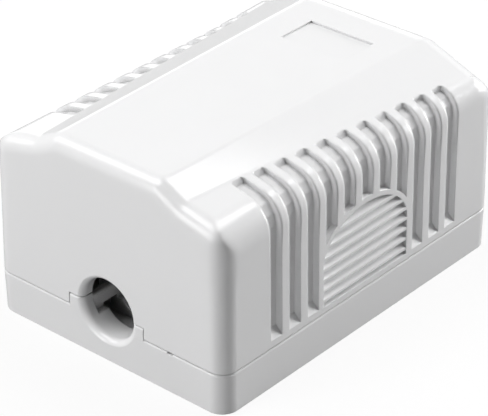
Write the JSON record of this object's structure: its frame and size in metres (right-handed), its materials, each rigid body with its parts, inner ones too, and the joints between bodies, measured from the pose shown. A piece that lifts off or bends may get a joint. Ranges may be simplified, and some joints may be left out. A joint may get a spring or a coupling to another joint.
{
  "type": "surface mount jack box",
  "caption": "White plastic surface mount data jack box: clip-on grooved cover over a wall base, round cable entry at one end and an 8-way modular jack at the other.",
  "frame": {"origin": "middle of the underside, on the wall face", "axes": "+X along the box from the cable entry to the jack, +Y across it, +Z away from the wall"},
  "size_m": [0.066, 0.0472, 0.0351],
  "materials": {
    "base_shell": "white moulded plastic, low gloss",
    "cover_shell": "white moulded plastic, low gloss",
    "board": "green circuit board with lacquer over copper tracks",
    "jack_body": "black moulded plastic",
    "contact_gold": "gold-plated spring wire",
    "idc_plastic": "white moulded plastic",
    "clip_metal": "tin-plated strip"
  },
  "bodies": {
    "box": {"base": "base_shell", "circuit_board": "board", "jack_housing": "jack_body", "jack_contact_1": "contact_gold", "jack_contact_2": "contact_gold", "jack_contact_3": "contact_gold", "jack_contact_4": "contact_gold", "jack_contact_5": "contact_gold", "jack_contact_6": "contact_gold", "jack_contact_7": "contact_gold", "jack_contact_8": "contact_gold", "idc_block_left": "idc_plastic", "idc_block_right": "idc_plastic", "idc_clip_1": "clip_metal", "idc_clip_2": "clip_metal", "idc_clip_3": "clip_metal", "idc_clip_4": "clip_metal", "idc_clip_5": "clip_metal", "idc_clip_6": "clip_metal", "idc_clip_7": "clip_metal", "idc_clip_8": "clip_metal"},
    "lid": {"cover": "cover_shell"}
  },
  "joints": [
    {"name": "cover_lift", "type": "slide", "parent": "box", "child": "lid", "axis": [0, 0, 1], "range_m": [0, 0.045]}
  ]
}
